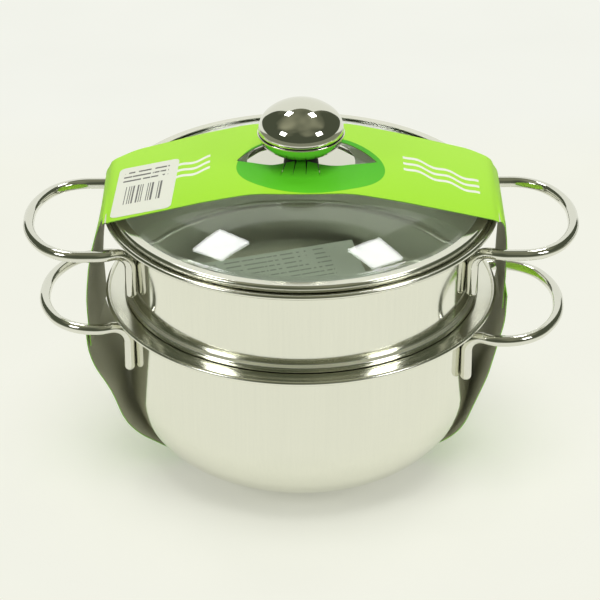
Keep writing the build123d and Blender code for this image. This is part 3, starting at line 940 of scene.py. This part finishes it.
def closer_rows():
    """Divide the long straight stretches of the drawn line, so that the card can be shaped."""
    edit = bmesh.from_edit_mesh(bpy.context.object.data)
    for edge in edit.edges:
        edge.select_set(False)
    for edge in edit.edges:
        if edge.calc_length() > card_step:
            edge.select_set(True)
    edit.select_flush(True)
    bmesh.update_edit_mesh(bpy.context.object.data)
    bpy.ops.mesh.subdivide(number_cuts=card_cuts)


def card_band(name, line, bends, half_width):
    """Board drawn along a line of corners and bends, half its width to the front and half back."""
    piece = start(name, *line[0])
    line_to(*line[1:])
    soften(line[1:-1], bends + bends[::-1])
    closer_rows()
    bpy.ops.mesh.select_all(action="SELECT")
    bpy.ops.transform.translate(value=(0, -half_width, 0))
    widened(piece, 2 * half_width, card_rows)
    boarded(piece)
    applied(
        piece, "SOLIDIFY", thickness=card, offset=0, material_offset=BOARD, material_offset_rim=EDGE)
    return piece


def block(name, outline, low, high, rounded=()):
    """Upright prism over a plan, as a cutter. Corners of the plan listed in rounded are rounded."""
    (x, y), *others = outline
    piece = start(name, x, low, y)
    draw_to([Vector((x, y, low)) for x, y in others])
    bpy.ops.mesh.select_all(action="SELECT")
    bpy.ops.mesh.edge_face_add()
    for x, y in rounded:
        round_off(Vector((x, y, low)), corner_round, corner_steps)
    bpy.ops.mesh.select_all(action="SELECT")
    bpy.ops.mesh.extrude_region_move(TRANSFORM_OT_translate={"value": (0, 0, high - low)})
    bpy.ops.mesh.select_all(action="SELECT")
    bpy.ops.mesh.normals_make_consistent(inside=False)
    bpy.ops.object.mode_set(mode="OBJECT")
    boarded(piece)
    for face in piece.data.polygons:
        face.material_index = EDGE
    return piece


def cut(piece, cutter, operation):
    """Cut a piece with a prism, and take the prism away."""
    applied(piece, "BOOLEAN", operation=operation, object=cutter, solver="EXACT")
    bpy.data.objects.remove(cutter)


def arc_points(middle, half_width, depth):
    """Points from the left end to the right end of a flat arc, depth to the back at its middle."""
    radius = (half_width ** 2 + depth ** 2) / (2 * abs(depth))
    reach = math.asin(half_width / radius)
    side = math.copysign(1, depth)
    angles = [reach * (2 * step / eye_steps - 1) for step in range(eye_steps + 1)]
    return [
        (middle + radius * math.sin(angle), side * (abs(depth) - radius + radius * math.cos(angle)))
        for angle in angles
    ]


left = [(-x, z) for x, z in left_strip] + [(-left_fold, fold_level), (-knee[0], knee[1])]
right = [(x, z) for x, z in right_strip] + [(right_fold, fold_level), knee]
card_line = left + [(-flat_end[0], flat_end[1]), flat_end] + right[::-1]
card_bends = [side_bend, side_bend, fold_bend, knee_bend, knee_bend]
top_card = card_band("sleeve_panel", card_line, card_bends, panel_half)
panel_trim = mm / 2
past_left, past_right = -left_fold - past_edge, right_fold + past_edge
rear_corners = [
    (-left_fold, strip_half), (corner_run - left_fold, fold_half),
    (right_fold - corner_run, fold_half), (right_fold, strip_half),
]
panel_plan = [
    (past_left, strip_half), *rear_corners[:2], (0, panel_half - panel_trim), *rear_corners[2:],
    (past_right, strip_half), (past_right, -strip_half), (right_fold, -strip_half),
    (right_fold, -fold_half), (0, panel_trim - panel_half), (-left_fold, -fold_half),
    (-left_fold, -strip_half), (past_left, -strip_half),
]
cut(top_card, block("plan", panel_plan, 0, knob_top, rear_corners), "INTERSECT")
eye = arc_points(slot_middle, slot_half, slot_back)
eye += arc_points(slot_middle, slot_half, -slot_front)[-2:0:-1]
cut(top_card, block("eye", eye, fold_level, knob_top), "DIFFERENCE")
slit_width = 0.5 * mm
slit_tip = 0.1 * mm
slit_near, slit_far = -9.5 * mm, -20.0 * mm
slits = {-8.0 * mm: -11.0 * mm, -2.5 * mm: -4.5 * mm, 2.8 * mm: 2.4 * mm, 8.5 * mm: 9.8 * mm}
for near, far in slits.items():
    slit = [
        (near - slit_width, slit_near), (near + slit_width, slit_near),
        (far + slit_tip, slit_far), (far - slit_tip, slit_far),
    ]
    cut(top_card, block("slit", slit, fold_level, knob_top), "DIFFERENCE")


def pulled(piece, spot, pull, reach):
    """Pull the card at one spot, with its surroundings following softly over a reach."""
    bpy.ops.object.select_all(action="DESELECT")
    piece.select_set(True)
    bpy.context.view_layer.objects.active = piece
    bpy.ops.object.mode_set(mode="EDIT")
    bpy.ops.mesh.select_mode(type="VERT")
    bpy.ops.mesh.select_all(action="DESELECT")
    edit = bmesh.from_edit_mesh(piece.data)
    nearest = min((vertex.co - Vector(spot)).length for vertex in edit.verts)
    for vertex in edit.verts:
        vertex.select_set((vertex.co - Vector(spot)).length < nearest + card * 1.2)
    bmesh.update_edit_mesh(piece.data)
    bpy.ops.transform.translate(
        value=pull, use_proportional_edit=True, proportional_edit_falloff="SMOOTH", proportional_size=reach)
    bpy.ops.object.mode_set(mode="OBJECT")


flap_lift = 3.6 * mm
flap_reach = 15.0 * mm
for flap_x in (-5.0 * mm, 0.0, 5.0 * mm):
    pulled(top_card, (flap_x, -slot_front, panel_level), (0, 0, flap_lift / 2), flap_reach)


def eased(value):
    """Smooth step from 0 to 1."""
    value = min(max(value, 0), 1)
    return value * value * (3 - 2 * value)


twist_run = 24.0 * mm
twist_start = 73.5 * mm


def settled(piece):
    """Let the front of the panel droop a little, and the left strip twist as it goes down."""
    for vertex in piece.data.vertices:
        over = eased((vertex.co.z - fold_level + 3 * card) / (3 * card))
        vertex.co.z += over * front_droop * vertex.co.y / panel_half
        if vertex.co.x < -twist_start:
            share = eased((fold_level - vertex.co.z) / twist_run) * eased(vertex.co.z / twist_run - 1)
            vertex.co.x += share * left_twist * (vertex.co.y + strip_half) / (2 * strip_half)


settled(top_card)
fitted(top_card, "lid", "sleeve_card", sleeve_finishes, "sleeve_top_card")


# Sleeve, lower card: a strap of the same board, under the pot and up both sides outside the strips.
# It is narrower under the pot, and its ends lap the strips.
strap_foot_half = 19.0 * mm
strap_foot = 60.0 * mm
lap_off = card + 1.3 * mm
strap_trim = 0.02 * mm
past_strap = 130.0 * mm
flank_left, flank_right = (-94.0 * mm, 26.0 * mm), (86.5 * mm, 23.0 * mm)
left_side = [
    (-112.8 * mm - lap_off, 86.0 * mm), (-111.8 * mm - lap_off, 70.0 * mm), (-102.0 * mm, 49.9 * mm),
    flank_left,
]
right_side = [
    (106.9 * mm + lap_off, 107.5 * mm), (106.3 * mm + lap_off, 92.0 * mm), (100.0 * mm, 58.1 * mm),
    flank_right,
]
strap_line = left_side + [(-strap_foot, card / 2), (strap_foot, card / 2)] + right_side[::-1]
strap_bends = [40 * mm, 60 * mm, 38 * mm, 28 * mm]
strap = card_band("sleeve_band", strap_line, strap_bends, strip_half)
wide = strip_half - strap_trim
strap_rear = [
    (-past_strap, wide), (flank_left[0], wide), (-strap_foot, strap_foot_half),
    (strap_foot, strap_foot_half), (flank_right[0], wide), (past_strap, wide),
]
strap_front = [(x, -y) for x, y in reversed(strap_rear)]
cut(strap, block("plan", strap_rear + strap_front, -past_edge, basket_rim), "INTERSECT")
settled(strap)
fitted(strap, "pot", "sleeve_card", sleeve_finishes, "sleeve_strap")


# Label: a white paper sticker with rounded corners on the left slope of the panel, printed with
# plain bars and rules.
label_long, label_wide = 32.0 * mm, 50.0 * mm
label_paper = 0.15 * mm
label_round = 3.0 * mm
label_middle = Vector((-82.0 * mm, -9.0 * mm))
label_turn = math.radians(-4)
label_gap = 0.06 * mm
label_parts = 10
bars_reach = ((-10 * mm, 12 * mm), (-19 * mm, -1 * mm))
rules_reach = ((-12 * mm, 12 * mm), (4 * mm, 16.4 * mm))
bar_grain, print_run = (900, 0, 0), (500, 60, 1)
bar_cut, run_cut = 0.52, 0.42
rule_pitch = 4.2 * mm
rule_share = 0.34
label_white, label_ink = (0.74, 0.75, 0.66), (0.12, 0.12, 0.11)
label_cloud, label_rough, label_swing = 400, 0.4, 0.1
bpy.ops.object.select_all(action="DESELECT")
bpy.ops.mesh.primitive_plane_add(size=1)
label = bpy.context.object
label.name = label.data.name = "sleeve_sticker"
label.data.transform(Matrix.Diagonal((label_long, label_wide, 1, 1)))
bpy.ops.object.mode_set(mode="EDIT")
bpy.ops.mesh.select_mode(type="VERT")
bpy.ops.mesh.select_all(action="SELECT")
bpy.ops.mesh.bevel(offset_type="OFFSET", offset=label_round, segments=5, affect="VERTICES")
bpy.ops.object.mode_set(mode="OBJECT")
label.data.transform(
    Matrix.Translation((*label_middle, panel_level)) @ Matrix.Rotation(label_turn, 4, "Z"))


def label_finish():
    """White paper with a block of grey bars and three rules, none of which says anything."""
    material, shader, place = finish("label_paper", {"Specular IOR Level": 0.4})
    flat = place.mapped(turn=-label_turn)
    along = flat.axis("X") - label_middle.x
    across = flat.axis("Y") - label_middle.y
    bars = flat.mapped(scale=bar_grain).noise(1, detail=0).math("GREATER_THAN", bar_cut)
    bars = bars * along.within(*bars_reach[0]) * across.within(*bars_reach[1])
    rules = (across * (1 / rule_pitch)).math("FRACT").math("LESS_THAN", rule_share)
    rules = rules * along.within(*rules_reach[0]) * across.within(*rules_reach[1])
    runs = flat.mapped(scale=print_run).noise(1, detail=1).math("GREATER_THAN", run_cut)
    ink = (bars + rules * runs).math("MINIMUM", 1)
    ink.colours(label_white, label_ink).feed(shader, "Base Color")
    (place.noise(label_cloud) * label_swing + label_rough).feed(shader, "Roughness")
    return material


bpy.ops.object.mode_set(mode="EDIT")
for number in range(1, label_parts):
    for middle, size, way in (
            (label_middle.x, label_long, (1, 0, 0)), (label_middle.y, label_wide, (0, 1, 0))):
        bpy.ops.mesh.select_all(action="SELECT")
        spot = Vector(way) * (middle + size * (number / label_parts - 1 / 2))
        bpy.ops.mesh.bisect(plane_co=spot, plane_no=way)
bpy.ops.object.mode_set(mode="OBJECT")
applied(
    label, "SHRINKWRAP", target=top_card, wrap_method="PROJECT", offset=label_gap + label_paper / 2,
    use_project_x=False, use_project_y=False, use_project_z=True,
    use_negative_direction=True, use_positive_direction=False)
applied(label, "SOLIDIFY", thickness=label_paper, offset=0)
fitted(label, "lid", "label_paper", [label_finish()], "sleeve_label")
bpy.ops.object.select_all(action="DESELECT")
